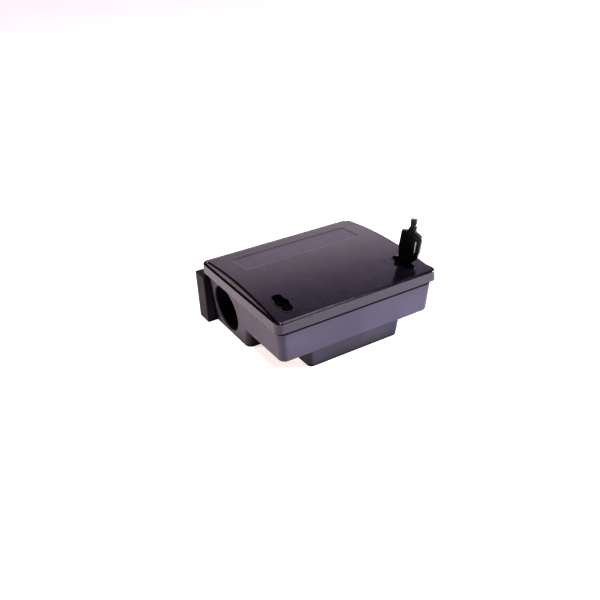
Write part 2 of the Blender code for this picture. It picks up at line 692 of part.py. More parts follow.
def make_baffle():
    """The plate between the tunnel and the bait chamber, with two doorways."""
    y = FRONT + BAFFLE_BEHIND_FRONT
    half = BAFFLE_THICKNESS / 2
    low, high = WALL + GAP, 80.0
    plans = []
    for z, clearance in ((low, 2.4), (high, 0.5)):
        side = LID_WIDTH / 2 - base_inset(z) - WALL - clearance
        plans.append((-side, side, y - half, y + half))
    baffle = drafted_box("baffle", low, high, plans[0], plans[1])
    for side in (-1, 1):
        xs = sorted((side * 48.0, side * 98.0))
        door = drafted_box("door", -25.0, 25.0, (*xs, -21.0, 21.0), corner=12.0)
        door.data.transform(Matrix.Translation(mm(0.0, y, 52.0))
                            @ Matrix.Rotation(math.radians(90), 4, "X"))
        cut(baffle, door)
    return finish(as_part(baffle, "tunnel_baffle"), (0.03, 0.03, 0.033), 0.5)


def main():
    start_scene()
    make_base()
    make_lid()
    for side, word in ((-1, "left"), (1, "right")):
        make_hinge_pin("hinge_pin_" + word, side * HINGE_X, side)
        make_barrel("lock_barrel_" + word, side * LOCK_X)
        make_clip("lock_clip_" + word, side * LOCK_X)
        make_tongue("lock_tongue_" + word, side * LOCK_X)
        make_lock_screw("lock_screw_" + word, side * LOCK_X)
        make_keeper("lock_keeper_" + word, side)
    make_key()
    make_tray()
    make_baffle()
    for word, behind in ROD_BEHIND_FRONT.items():
        make_rod("bait_rod_" + word, FRONT + behind)
        for side, hand in ((-1, "left"), (1, "right")):
            make_block("bait_block_%s_%s" % (word, hand), side * BLOCK_X, FRONT + behind)


main()
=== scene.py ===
"""The looks of the bait station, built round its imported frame.

Metres, +Z up, the front faces -Y.  Sizes below are millimetres and pass through mm().
The lid, the base and the key are rebuilt here with rounded edges and fine mouldings; the
other pieces keep their CAD shapes and get softened edges and materials.
"""
import math

import bmesh
import bpy
from mathutils import Matrix, Vector


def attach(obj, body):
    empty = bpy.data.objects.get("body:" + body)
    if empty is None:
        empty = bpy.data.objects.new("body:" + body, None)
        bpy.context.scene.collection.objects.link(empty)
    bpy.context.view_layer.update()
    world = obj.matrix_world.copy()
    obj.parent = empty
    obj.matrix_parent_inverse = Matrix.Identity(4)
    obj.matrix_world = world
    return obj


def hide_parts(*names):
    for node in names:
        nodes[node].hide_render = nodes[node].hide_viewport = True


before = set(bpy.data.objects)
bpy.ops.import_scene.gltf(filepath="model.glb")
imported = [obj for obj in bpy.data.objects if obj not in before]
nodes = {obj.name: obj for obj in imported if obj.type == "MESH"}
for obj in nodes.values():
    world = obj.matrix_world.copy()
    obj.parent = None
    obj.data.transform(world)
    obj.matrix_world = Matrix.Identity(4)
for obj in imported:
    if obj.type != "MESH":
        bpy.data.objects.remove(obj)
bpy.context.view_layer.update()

# ---- camera, millimetres and degrees --------------------------------------------------
CAMERA_AIM = (-28.3, -8.8, 45.0)
CAMERA_AZIMUTH = -30.4
CAMERA_ELEVATION = 29.1
CAMERA_ROLL = -2.76
CAMERA_DISTANCE = 934.2
CAMERA_LENS = 43.09

WORLD_LIGHT = 1.35
FLOOR_GLOW = 0.54
GLOSS_SPREAD = 0.05        # how far a plastic's roughness drifts either way

# ---- the object's sizes, millimetres --------------------------------------------------
LID_WIDTH = 235.0
LID_DEPTH = 204.0
FRONT = -108.0
GAP = 0.3

SKIRT_BOTTOM = 72.0
SKIRT_TOP = 86.3
SKIRT_INSET = 0.7          # how far the skirt draws in above its flared foot
SKIRT_INNER_INSET = 2.5
SKIRT_ROUND = 2.5
LID_CORNER = 9.5
FLARE_HEIGHT = 5.0

ROOF_CROWN = 95.2
ROOF_CREST = 114.0         # the arch's highest line, behind the lid's front
ROOF_RADIUS = 590.0
ROOF_FRONT = 2.6
ROOF_REAR = 193.5
GABLE_INSET = 2.6          # from the lid's side to the foot of the roof's gable
ROOF_CORNER = 7.0
ROOF_ROUND = 3.0
ROOF_WALL = 2.4

SHELF_LEVEL = 27.4
RIM_LEVEL = 81.8
WALL = 2.5
DRAFT = 0.079              # inward lean per millimetre down
INSET_AT_SKIRT = 3.7       # from the lid's side to the base's wall, at the skirt's foot
BASE_CORNER = 9.5
BASE_ROUND = 3.0
REBATE = 1.1
REBATE_LEVEL = 69.2
ANCHOR_X = 80.0
ANCHOR_RADIUS = 2.75

TUNNEL_FRONT_LOW = 98.7
TUNNEL_FRONT_HIGH = 94.0
WELL_HALF_WIDTH = 67.2
WELL_SET_BACK = 16.6
WELL_DRAFT = 2.8
HOLE_RADIUS = 31.5
HOLE_BEHIND_FRONT = 149.8
HOLE_HEIGHT = 36.7

WING_HALF_WIDTH = 121.8
WING_FRONT = 189.5
LEDGE_REAR = 216.0
LEDGE_TOP = 68.2

HINGE_X = 60.0
KNUCKLE_HALF_WIDTH = 7.0
EAR_INNER = 7.4
EAR_OUTER = 12.4
HINGE_BEHIND_FRONT = 209.8
HINGE_HEIGHT = 75.0
KNUCKLE_RADIUS = 4.5
PIN_RADIUS = 2.0

LOCK_X = 89.8
LOCK_BEHIND_FRONT = 36.0
KEYHOLE_LENGTH = 35.2
KEYHOLE_WIDTH = 13.6
KEYHOLE_EYE = 18.0
KEYHOLE_CORNER = 5.5
KEYHOLE_EDGE = 0.6
KEYHOLE_LIP = 1.5
KEYHOLE_LIP_HEIGHT = 0.5
CUP_FLOOR = 76.0
CUP_WALL = 2.0
BARREL_TOP = 80.3
BARREL_RADIUS = 7.3
BIT_DEPTH = 3.6
SHANK_RADIUS = 3.9
STAKE_HALF_WIDTH = 1.5
KEEPER_BACK = 22.0
KEEPER_FOOT = 12.0

KEY_TURN = math.radians(-60.4)
KEY_SEAT = 91.7
KEY_THICKNESS = 5.0

LABEL_HALF_WIDTH = 86.5
LABEL_FRONT = 128.0
LABEL_REAR = 169.0
LABEL_DEPTH = 0.5
LABEL_FRAME = 1.3
LABEL_FRAME_DEPTH = 0.2
GATE_BEHIND_FRONT = 93.0

ROD_HEIGHT = 48.0
ROD_RADIUS = 2.0
ROD_POST_X = 73.5
ROD_BEHIND_FRONT = (50.0, 80.0)
BAFFLE_BEHIND_FRONT = 104.2
BAFFLE_THICKNESS = 2.4

HINGE_Y = FRONT + HINGE_BEHIND_FRONT
LOCK_Y = FRONT + LOCK_BEHIND_FRONT
ENTRY_Y = FRONT + HOLE_BEHIND_FRONT


def mm(*values):
    """Millimetres to metres: one value, or a tuple of them."""
    scaled = tuple(value * 0.001 for value in values)
    return scaled[0] if len(scaled) == 1 else scaled


# ---- stage ----------------------------------------------------------------------------
def make_camera():
    turn = (Matrix.Rotation(math.radians(CAMERA_AZIMUTH), 3, "Z")
            @ Matrix.Rotation(math.radians(90 - CAMERA_ELEVATION), 3, "X")
            @ Matrix.Rotation(math.radians(CAMERA_ROLL), 3, "Z"))
    camera = bpy.data.objects.new("camera", bpy.data.cameras.new("camera"))
    camera.data.lens = CAMERA_LENS
    camera.data.clip_end = 50.0
    away = turn @ Vector((0.0, 0.0, mm(CAMERA_DISTANCE)))
    camera.matrix_world = Matrix.Translation(Vector(mm(*CAMERA_AIM)) + away) @ turn.to_4x4()
    bpy.context.scene.collection.objects.link(camera)
    bpy.context.scene.camera = camera
    bpy.context.scene.view_settings.view_transform = "Standard"
    bpy.context.scene.view_settings.look = "High Contrast"


def area_light(name, at, aim, size, watts, colour):
    lamp = bpy.data.lights.new(name, "AREA")
    lamp.shape = "RECTANGLE"
    lamp.size, lamp.size_y = size
    lamp.energy = watts
    lamp.color = colour
    thing = bpy.data.objects.new(name, lamp)
    thing.location = at
    thing.rotation_euler = (Vector(aim) - Vector(at)).to_track_quat("-Z", "Y").to_euler()
    bpy.context.scene.collection.objects.link(thing)


def make_floor():
    bm = bmesh.new()
    bmesh.ops.create_grid(bm, x_segments=1, y_segments=1, size=9.0)
    mesh = bpy.data.meshes.new("floor")
    bm.to_mesh(mesh)
    bm.free()
    floor = bpy.data.objects.new("floor", mesh)
    bpy.context.scene.collection.objects.link(floor)
    material = bpy.data.materials.new("floor_paper")
    material.use_nodes = True
    shader = material.node_tree.nodes["Principled BSDF"]
    shader.inputs["Base Color"].default_value = (0.64, 0.62, 0.63, 1.0)
    shader.inputs["Roughness"].default_value = 0.75
    shader.inputs["Emission Color"].default_value = (1.0, 0.91, 0.90, 1.0)
    shader.inputs["Emission Strength"].default_value = FLOOR_GLOW
    mesh.materials.append(material)


def make_world():
    """A bright backdrop behind and to the right, dim towards the camera and overhead."""
    world = bpy.data.worlds.new("studio")
    bpy.context.scene.world = world
    world.use_nodes = True
    tree = world.node_tree
    place = tree.nodes.new("ShaderNodeTexCoord")
    split = tree.nodes.new("ShaderNodeSeparateXYZ")
    ramp = tree.nodes.new("ShaderNodeValToRGB")
    tree.links.new(place.outputs["Generated"], split.inputs[0])
    tree.links.new(split.outputs["Z"], ramp.inputs[0])
    stops = ramp.color_ramp.elements
    stops[0].position, stops[0].color = 0.12, (0.62, 0.55, 0.62, 1.0)
    stops[1].position, stops[1].color = 1.0, (0.12, 0.10, 0.14, 1.0)
    for position, colour in ((0.36, (1.0, 0.88, 1.0, 1.0)), (0.52, (0.92, 0.80, 0.96, 1.0)),
                             (0.74, (0.36, 0.29, 0.43, 1.0))):
        stop = stops.new(position)
        stop.color = colour
    level = tree.nodes.new("ShaderNodeVectorMath")
    level.operation = "MULTIPLY"
    level.inputs[1].default_value = (1.0, 1.0, 0.0)
    tree.links.new(place.outputs["Generated"], level.inputs[0])
    bearing = tree.nodes.new("ShaderNodeVectorMath")
    bearing.operation = "NORMALIZE"
    tree.links.new(level.outputs[0], bearing.inputs[0])
    towards = tree.nodes.new("ShaderNodeVectorMath")
    towards.operation = "DOT_PRODUCT"
    towards.inputs[1].default_value = (0.85, 0.53, 0.0)
    tree.links.new(bearing.outputs[0], towards.inputs[0])
    side = tree.nodes.new("ShaderNodeMapRange")
    tree.links.new(towards.outputs["Value"], side.inputs[0])
    for socket, number in zip(side.inputs[1:5], (0.55, 0.97, 0.08, WORLD_LIGHT)):
        socket.default_value = number
    tree.links.new(ramp.outputs[0], tree.nodes["Background"].inputs["Color"])
    tree.links.new(side.outputs[0], tree.nodes["Background"].inputs["Strength"])


# ---- solids ---------------------------------------------------------------------------
def new_object(name, bm):
    bmesh.ops.recalc_face_normals(bm, faces=bm.faces)
    mesh = bpy.data.meshes.new(name)
    bm.to_mesh(mesh)
    bm.free()
    thing = bpy.data.objects.new(name, mesh)
    bpy.context.scene.collection.objects.link(thing)
    return thing


def plan_chains(plan, corner, corner_steps, side_steps):
    """The left and right halves of a rounded outline, each from front to rear."""
    x0, x1, y0, y1 = plan
    left = []
    for i in range(corner_steps + 1):
        a = math.radians(90.0 * i / corner_steps)
        left.append((x0 + corner * (1 - math.sin(a)), y0 + corner * (1 - math.cos(a))))
    straight = y1 - y0 - 2 * corner
    for i in range(1, side_steps):
        left.append((x0, y0 + corner + straight * i / side_steps))
    for i in range(corner_steps + 1):
        a = math.radians(90.0 * i / corner_steps)
        left.append((x0 + corner * (1 - math.cos(a)), y1 - corner * (1 - math.sin(a))))
    return left, [(x0 + x1 - x, y) for x, y in left]


def loft(name, levels, corner_steps=8, side_steps=1):
    """A solid through levels (plan, corner, height), foot first; height may depend on y."""
    bm = bmesh.new()
    rows = []
    for plan, corner, height in levels:
        row = []
        for chain in plan_chains(plan, corner, corner_steps, side_steps):
            row.append([bm.verts.new(mm(x, y, height(y) if callable(height) else height))
                        for x, y in chain])
        rows.append(row)
    for (left_a, right_a), (left_b, right_b) in zip(rows, rows[1:]):
        ring_a = left_a + right_a[::-1]
        ring_b = left_b + right_b[::-1]
        for i in range(len(ring_a)):
            j = (i + 1) % len(ring_a)
            bm.faces.new((ring_a[i], ring_a[j], ring_b[j], ring_b[i]))
    for left, right in (rows[0], rows[-1]):
        for i in range(len(left) - 1):
            bm.faces.new((left[i], left[i + 1], right[i + 1], right[i]))
    return new_object(name, bm)


def inset_plan(plan, inset):
    return (plan[0] + inset, plan[1] - inset, plan[2] + inset, plan[3] - inset)


def rounded_levels(plan_at, corner, foot, top, foot_round=0.0, top_round=0.0, steps=5):
    """Levels of a block with plan plan_at(z), its foot and its top edges rounded."""
    levels = []

    def add(z, inset):
        levels.append((inset_plan(plan_at(z), inset), max(corner - inset, 0.4), z))

    if foot_round:
        for i in range(steps):
            t = math.pi / 2 * i / steps
            add(foot + foot_round * (1 - math.cos(t)), foot_round * (1 - math.sin(t)))
    add(foot + foot_round, 0.0)
    add(top - top_round, 0.0)
    if top_round:
        for i in range(1, steps + 1):
            t = math.pi / 2 * i / steps
            add(top - top_round * (1 - math.sin(t)), top_round * (1 - math.cos(t)))
    return levels


def block(name, plan, foot, top, corner=0.4, foot_round=0.0, top_round=0.0, corner_steps=8):
    """A block with one plan, rounded upright edges and optional rounded foot and top."""
    levels = rounded_levels(lambda z: plan, corner, foot, top, foot_round, top_round, 3)
    return loft(name, levels, corner_steps)


def cylinder(name, radius, start, end, segments=48):
    a, b = Vector(mm(*start)), Vector(mm(*end))
    bm = bmesh.new()
    bmesh.ops.create_cone(bm, cap_ends=True, segments=segments, radius1=mm(radius),
                          radius2=mm(radius), depth=(b - a).length)
    turn = (b - a).to_track_quat("Z", "Y").to_matrix().to_4x4()
    bmesh.ops.transform(bm, matrix=Matrix.Translation((a + b) / 2) @ turn, verts=bm.verts)
    return new_object(name, bm)


def roof_level(behind_front):
    reach = behind_front - ROOF_CREST
    return ROOF_CROWN - ROOF_RADIUS + math.sqrt(ROOF_RADIUS * ROOF_RADIUS - reach * reach)


def under_roof(below):
    """Height at y of the surface that runs a distance below the roof's arch."""
    return lambda y: roof_level(y - FRONT) - below


def arch_block(name, below):
    """A block over the whole plan whose top follows the roof's arch."""
    margin = 6.0
    side = LID_WIDTH / 2 + margin
    plan = (-side, side, FRONT - margin, FRONT + LID_DEPTH + margin)
    return loft(name, [(plan, 0.4, 60.0), (plan, 0.4, under_roof(below))], 1, 48)


# ---- joining and cutting --------------------------------------------------------------
def bake(thing):
    graph = bpy.context.evaluated_depsgraph_get()
    mesh = bpy.data.meshes.new_from_object(thing.evaluated_get(graph))
    thing.modifiers.clear()
    thing.data = mesh


def boolean(thing, other, operation):
    change = thing.modifiers.new(operation, "BOOLEAN")
    change.operation = operation
    change.solver = "EXACT"
    change.object = other
    bake(thing)
    bpy.data.objects.remove(other, do_unlink=True)
    return thing


def cut(thing, *others):
    for other in others:
        boolean(thing, other, "DIFFERENCE")
    return thing


def join(thing, *others):
    for other in others:
        boolean(thing, other, "UNION")
    return thing


def soften(thing, chosen, width, segments=2):
    """Round the edges that chosen(edge) picks."""
    bm = bmesh.new()
    bm.from_mesh(thing.data)
    edges = [e for e in bm.edges if e.is_manifold and chosen(e)]
    bmesh.ops.bevel(bm, geom=edges, offset=mm(width), segments=segments, profile=0.5,
                    affect="EDGES", clamp_overlap=True)
    bm.to_mesh(thing.data)
    bm.free()
    return thing


def smooth_shade(thing, angle=32):
    thing.data.shade_smooth()
    thing.data.set_sharp_from_angle(angle=math.radians(angle))
    weigh = thing.modifiers.new("weighted", "WEIGHTED_NORMAL")
    weigh.keep_sharp = True
    weigh.weight = 60


# ---- base -----------------------------------------------------------------------------
def base_inset(z):
    return INSET_AT_SKIRT + (SKIRT_BOTTOM - z) * DRAFT


def lid_plan(inset):
    side = LID_WIDTH / 2 - inset
    return (-side, side, FRONT + inset, FRONT + LID_DEPTH - inset)


def roof_plan(inset):
    side = LID_WIDTH / 2 - GABLE_INSET - inset
    return (-side, side, FRONT + ROOF_FRONT + inset, FRONT + ROOF_REAR - inset)


def tunnel_plan(z, wall):
    inset = base_inset(z) + 0.05 + wall
    x0, x1, _, y1 = lid_plan(inset)
    lean = (TUNNEL_FRONT_LOW - TUNNEL_FRONT_HIGH) * min(z / SHELF_LEVEL, 1.1)
    return (x0, x1, FRONT + TUNNEL_FRONT_LOW - lean + wall, y1)


def well_plan(z, wall):
    grow = WELL_DRAFT * z / SHELF_LEVEL
    side = WELL_HALF_WIDTH + grow - wall
    return (-side, side, FRONT + WELL_SET_BACK - grow + wall, FRONT + 112.0)


def shell_body():
    """The base's outer form: drafted body, cross tunnel, well, and ledge with wings."""
    levels = rounded_levels(lambda z: lid_plan(base_inset(z)), BASE_CORNER, SHELF_LEVEL,
                            REBATE_LEVEL, BASE_ROUND)
    for z in (REBATE_LEVEL + 0.3, RIM_LEVEL):
        levels.append((lid_plan(base_inset(z) + REBATE), BASE_CORNER - REBATE, z))
    body = loft("body", levels)
    top = SHELF_LEVEL + 3.5
    tunnel = loft("tunnel", rounded_levels(lambda z: tunnel_plan(z, 0), 9.0, 0.0, top, 1.6))
    well = loft("well", rounded_levels(lambda z: well_plan(z, 0), 6.0, 0.0, top, 1.3))
    side = WING_HALF_WIDTH
    ledge = block("ledge", (-side, side, FRONT + WING_FRONT, FRONT + LEDGE_REAR), 0.0,
                  LEDGE_TOP, 1.6, 0.5, 0.9, 4)
    return join(body, tunnel, well, ledge)


def hollow_body(body):
    """Cut the chamber, the tunnel, the well, the ledge's hollow and the holes."""
    floor = SHELF_LEVEL + WALL
    top = RIM_LEVEL + 5.0
    chamber = loft("chamber", rounded_levels(lambda z: lid_plan(base_inset(z) + WALL),
                                             BASE_CORNER - WALL, floor, top, 1.5))
    low, high = WALL, floor + 1.8
    tunnel = loft("bore", rounded_levels(lambda z: tunnel_plan(z, WALL), 6.5, low, high, 1.0))
    well = loft("pit", rounded_levels(lambda z: well_plan(z, WALL), 3.5, low, high, 0.8))
    hollow = block("ledge_hollow", (-WING_HALF_WIDTH + WALL, WING_HALF_WIDTH - WALL,
                                    FRONT + 202.0, FRONT + LEDGE_REAR - WALL),
                   -1.0, LEDGE_TOP - WALL, 0.6, 0.0, 0.6, 3)
    side = WING_HALF_WIDTH + 8.2
    entries = cylinder("entries", HOLE_RADIUS, (-side, ENTRY_Y, HOLE_HEIGHT),
                       (side, ENTRY_Y, HOLE_HEIGHT), 96)
    cut(body, chamber, tunnel, well, hollow, entries)
    for x in (-ANCHOR_X, ANCHOR_X):
        cut(body, cylinder("anchor", ANCHOR_RADIUS, (x, ENTRY_Y, -1), (x, ENTRY_Y, 5), 28))
    return body


def hinge_ear(x_low, x_high):
    """One of the base's ears beside a knuckle, on its foot."""
    ear = cylinder("ear", KNUCKLE_RADIUS, (x_low, HINGE_Y, HINGE_HEIGHT),
                   (x_high, HINGE_Y, HINGE_HEIGHT), 40)
    foot = block("foot", (x_low, x_high, HINGE_Y - KNUCKLE_RADIUS, HINGE_Y + KNUCKLE_RADIUS),
                 LEDGE_TOP - 1.5, HINGE_HEIGHT)
    return join(ear, foot)


def keeper_stake(side):
    """The pin on the shelf that holds a keeper's foot."""
    x = side * (LOCK_X - KEEPER_BACK + KEEPER_FOOT - 4.0)
    half = STAKE_HALF_WIDTH
    return block("stake", (x - half, x + half, LOCK_Y - half, LOCK_Y + half),
                 SHELF_LEVEL + 1.0, SHELF_LEVEL + WALL + 3.0, half, 0.0, 0.5)


def rod_post(side, y):
    """A post with a notch and a round seat for one end of a rod."""
    xs = (side * ROD_POST_X - 1.5, side * ROD_POST_X + 1.5)
    post = block("rod_post", (*xs, y - 6, y + 6), SHELF_LEVEL + 1.0, ROD_HEIGHT + 6.0, 0.6,
                 0.0, 0.5)
    width = ROD_RADIUS + GAP
    notch = block("notch", (xs[0] - 1, xs[1] + 1, y - width, y + width), ROD_HEIGHT,
                  ROD_HEIGHT + 8.0)
    seat = cylinder("seat", width, (xs[0] - 1, y, ROD_HEIGHT), (xs[1] + 1, y, ROD_HEIGHT), 24)
    return cut(post, notch, seat)


def baffle_rib(side, y_low, y_high):
    """One of the two ribs that hold the baffle's edge at a side wall."""
    levels = []
    for z in (36.0, 72.0):
        wall = LID_WIDTH / 2 - base_inset(z)
        xs = sorted((side * (wall - 1.2), side * (wall - WALL - 4.0)))
        levels.append(((*xs, y_low, y_high), 0.4, z))
    return loft("rib", levels, 2)


def on_entry_rim(edge):
    """True for the outer edge of an entry hole."""
    for vert in edge.verts:
        y = vert.co.y * 1000 - ENTRY_Y
        z = vert.co.z * 1000 - HOLE_HEIGHT
        if abs(math.hypot(y, z) - HOLE_RADIUS) > 0.02:
            return False
        if abs(vert.co.x) * 1000 < LID_WIDTH / 2 - base_inset(vert.co.z * 1000) - 0.3:
            return False
    return edge.calc_face_angle(0.0) > 0.6


def make_base():
    base = hollow_body(shell_body())
    soften(base, on_entry_rim, 0.7, 3)
    for x in (-HINGE_X, HINGE_X):
        join(base, hinge_ear(x - EAR_OUTER, x - EAR_INNER),
             hinge_ear(x + EAR_INNER, x + EAR_OUTER))
    for x in (-HINGE_X, HINGE_X):
        cut(base, cylinder("pin_bore", PIN_RADIUS + 0.2, (x - 14, HINGE_Y, HINGE_HEIGHT),
                           (x + 14, HINGE_Y, HINGE_HEIGHT), 28))
    baffle_y = FRONT + BAFFLE_BEHIND_FRONT
    slot = BAFFLE_THICKNESS / 2 + GAP
    for side in (-1, 1):
        join(base, keeper_stake(side))
        for behind in ROD_BEHIND_FRONT:
            join(base, rod_post(side, FRONT + behind))
        join(base, baffle_rib(side, baffle_y - slot - 2.2, baffle_y - slot),
             baffle_rib(side, baffle_y + slot, baffle_y + slot + 2.2))
    base.name = "base_shell"
    smooth_shade(base)
    return base


# ---- lid ------------------------------------------------------------------------------
def keyhole_form(x, grow, foot, top):
    """A keyhole's form, a slot with a round eye, grown outwards by grow."""
    half = KEYHOLE_WIDTH / 2 + grow
    reach = KEYHOLE_LENGTH / 2 + grow
    slot = block("keyhole", (x - half, x + half, LOCK_Y - reach, LOCK_Y + reach), foot, top,
                 KEYHOLE_CORNER + grow * 0.5, 0.0, 0.0, 10)
    eye = cylinder("eye", KEYHOLE_EYE / 2 + grow, (x, LOCK_Y, foot), (x, LOCK_Y, top), 64)
    return join(slot, eye)


def skirt_inset(z):
    """The skirt flares a little towards its foot."""
    return SKIRT_INSET * min((z - SKIRT_BOTTOM) / FLARE_HEIGHT, 1.0)


def roof_block():
    """The arched roof with its upper edges rounded."""
    levels = [(roof_plan(0.0), ROOF_CORNER, SKIRT_BOTTOM + 7.0)]
    steps = 6
    for i in range(steps + 1):
        t = math.pi / 2 * i / steps
        inset = ROOF_ROUND * (1 - math.cos(t))
        below = ROOF_ROUND * (1 - math.sin(t))
        levels.append((roof_plan(inset), ROOF_CORNER - inset, under_roof(below)))
    return loft("roof", levels, 10, 64)


def roof_shell():
    """The skirt and the roof as one wall, hollow underneath."""
    skirt = loft("skirt", rounded_levels(lambda z: lid_plan(skirt_inset(z)),
                                         LID_CORNER - SKIRT_INSET, SKIRT_BOTTOM, SKIRT_TOP,
                                         0.35, SKIRT_ROUND, 6), 12)
    over = block("over", roof_plan(-0.15), SKIRT_TOP - 4.0, ROOF_CROWN + 6.0, ROOF_CORNER)
    cut(over, arch_block("under_arch", ROOF_ROUND * 0.8))
    cut(skirt, over)
    join(skirt, roof_block())
    low = block("low_hollow", lid_plan(SKIRT_INNER_INSET), SKIRT_BOTTOM - 2.0,
                SKIRT_TOP - ROOF_WALL, LID_CORNER - SKIRT_INNER_INSET)
    high = block("high_hollow", roof_plan(ROOF_WALL), SKIRT_BOTTOM - 1.0, ROOF_CROWN + 6.0,
                 ROOF_CORNER - ROOF_WALL)
    join(low, high)
    boolean(low, arch_block("arch_in", ROOF_WALL), "INTERSECT")
    return cut(skirt, low)


def on_keyhole_rim(edge):
    """True for the edges of a keyhole's lip."""
    middle = (edge.verts[0].co + edge.verts[1].co) * 500.0
    near = (abs(abs(middle.x) - LOCK_X) < KEYHOLE_EYE / 2 + 2.0
            and abs(middle.y - LOCK_Y) < KEYHOLE_LENGTH / 2 + 2.0)
    above = middle.z - roof_level(middle.y - FRONT)
    return near and abs(above - KEYHOLE_LIP_HEIGHT) < 0.12 and edge.calc_face_angle(0.0) > 0.7


def label_pocket(grow, depth):
    """The volume cut away for the sunk panel, down to a depth under the roof."""
    pocket = block("label", (-LABEL_HALF_WIDTH - grow, LABEL_HALF_WIDTH + grow,
                             FRONT + LABEL_FRONT - grow, FRONT + LABEL_REAR + grow),
                   80.0, ROOF_CROWN + 6.0, 1.5 + grow)
    return cut(pocket, arch_block("label_floor", depth))


def keyhole_cup(x):
    """The cup under a keyhole, that the lock's barrel sits in."""
    cup = keyhole_form(x, CUP_WALL, CUP_FLOOR, ROOF_CROWN + 4.0)
    return boolean(cup, arch_block("cup_top", 0.8), "INTERSECT")


def keyhole_lip(x):
    """The low raised lip round a keyhole."""
    lip = keyhole_form(x, KEYHOLE_LIP, CUP_FLOOR + 6.0, ROOF_CROWN + 4.0)
    return boolean(lip, arch_block("lip_top", -KEYHOLE_LIP_HEIGHT), "INTERSECT")


def add_knuckle(lid, x):
    """One of the lid's hinge knuckles on its arm, bored for the pin."""
    half = KNUCKLE_HALF_WIDTH
    rear = FRONT + LID_DEPTH - SKIRT_INSET - 1.0
    knuckle = cylinder("knuckle", KNUCKLE_RADIUS, (x - half, HINGE_Y, HINGE_HEIGHT),
                       (x + half, HINGE_Y, HINGE_HEIGHT), 40)
    arm = block("arm", (x - half + 0.1, x + half - 0.1, rear, HINGE_Y), HINGE_HEIGHT - 2.4,
                HINGE_HEIGHT + 4.2)
    join(lid, knuckle, arm)
    cut(lid, cylinder("bore", PIN_RADIUS + 0.3, (x - half - 2, HINGE_Y, HINGE_HEIGHT),
                      (x + half + 2, HINGE_Y, HINGE_HEIGHT), 28))


def make_lid():
    lid = roof_shell()
    for x in (-LOCK_X, LOCK_X):
        join(lid, keyhole_cup(x))
        join(lid, keyhole_lip(x))
        cut(lid, keyhole_form(x, 0.0, CUP_FLOOR + CUP_WALL, ROOF_CROWN + 6.0))
    soften(lid, on_keyhole_rim, KEYHOLE_EDGE, 3)
    for x in (-LOCK_X, LOCK_X):
        cut(lid, cylinder("barrel_hole", BARREL_RADIUS + GAP, (x, LOCK_Y, CUP_FLOOR - 1),
                          (x, LOCK_Y, CUP_FLOOR + CUP_WALL + 1), 40))
    for x in (-HINGE_X, HINGE_X):
        add_knuckle(lid, x)
    cut(lid, label_pocket(LABEL_FRAME, LABEL_FRAME_DEPTH), label_pocket(0.0, LABEL_DEPTH))
    lid.name = "lid_shell"
    smooth_shade(lid)
    return lid


# ---- key ------------------------------------------------------------------------------
def key_outlines():
    """The key's outline above the lid (u across, v up), with a toothed arm, and its slot."""
    arm_low, arm_high = (20.8, 14.0), (24.1, 34.4)
    teeth = 9
    tooth = 0.8
    outline = [(-6.0, 0.0), (10.5, 0.0), (14.0, 2.5), (19.6, 7.5)]
    for i in range(teeth):
        for part, out in ((0.0, 0.0), (0.3, tooth), (0.65, tooth)):
            share = (i + part) / teeth
            outline.append((arm_low[0] + (arm_high[0] - arm_low[0]) * share + out - tooth,
                            arm_low[1] + (arm_high[1] - arm_low[1]) * share))
    outline += [arm_high, (23.1, 37.6), (16.3, 42.4), (15.6, 45.5), (16.5, 47.2), (16.5, 48.8),
                (15.2, 50.0), (15.0, 52.0), (16.4, 53.5), (16.4, 59.6), (9.2, 59.6),
                (9.2, 51.6), (7.2, 48.2), (6.0, 44.2), (-2.3, 43.4), (-4.2, 31.3), (-5.6, 24.0),
                (-5.5, 7.0), (-10.6, 6.0), (-10.6, 0.6)]
    slot = [(14.1, 13.2), (15.3, 12.8), (17.5, 30.0), (16.7, 31.0), (15.8, 29.2)]
    return [outline, slot]


def outline_plate(name, outlines, thickness):
    """A flat plate from closed outlines (the first outside, the rest holes)."""
    curve = bpy.data.curves.new(name, "CURVE")
    curve.dimensions = "2D"
    curve.fill_mode = "BOTH"
    curve.extrude = mm(thickness) / 2
    for outline in outlines:
        spline = curve.splines.new("POLY")
        spline.points.add(len(outline) - 1)
        for point, (u, v) in zip(spline.points, outline):
            point.co = (*mm(u, v, 0.0), 1.0)
        spline.use_cyclic_u = True
    flat = bpy.data.objects.new(name, curve)
    bpy.context.scene.collection.objects.link(flat)
    graph = bpy.context.evaluated_depsgraph_get()
    bm = bmesh.new()
    bm.from_mesh(bpy.data.meshes.new_from_object(flat.evaluated_get(graph)))
    bpy.data.objects.remove(flat, do_unlink=True)
    bmesh.ops.remove_doubles(bm, verts=bm.verts, dist=0.00001)
    bmesh.ops.dissolve_limit(bm, angle_limit=0.02, verts=bm.verts, edges=bm.edges)
    return new_object(name, bm)


def arm_ribs(place):
    """Slanting grip ribs along the key's sprung arm, on both faces."""
    bm = bmesh.new()
    ribs = 10
    for i in range(ribs):
        share = (i + 0.5) / ribs
        u, v = 19.6 + 3.0 * share, 12.5 + 21.0 * share
        rib = (Matrix.Translation(mm(u, v, 0.0)) @ Matrix.Rotation(math.radians(40), 4, "Z")
               @ Matrix.Diagonal((*mm(4.4, 0.9, KEY_THICKNESS + 1.0), 1.0)))
        bmesh.ops.create_cube(bm, size=1.0, matrix=place @ rib)
    ribs = new_object("ribs", bm)
    return soften(ribs, lambda edge: edge.calc_face_angle(0.0) > 0.5, 0.25, 2)


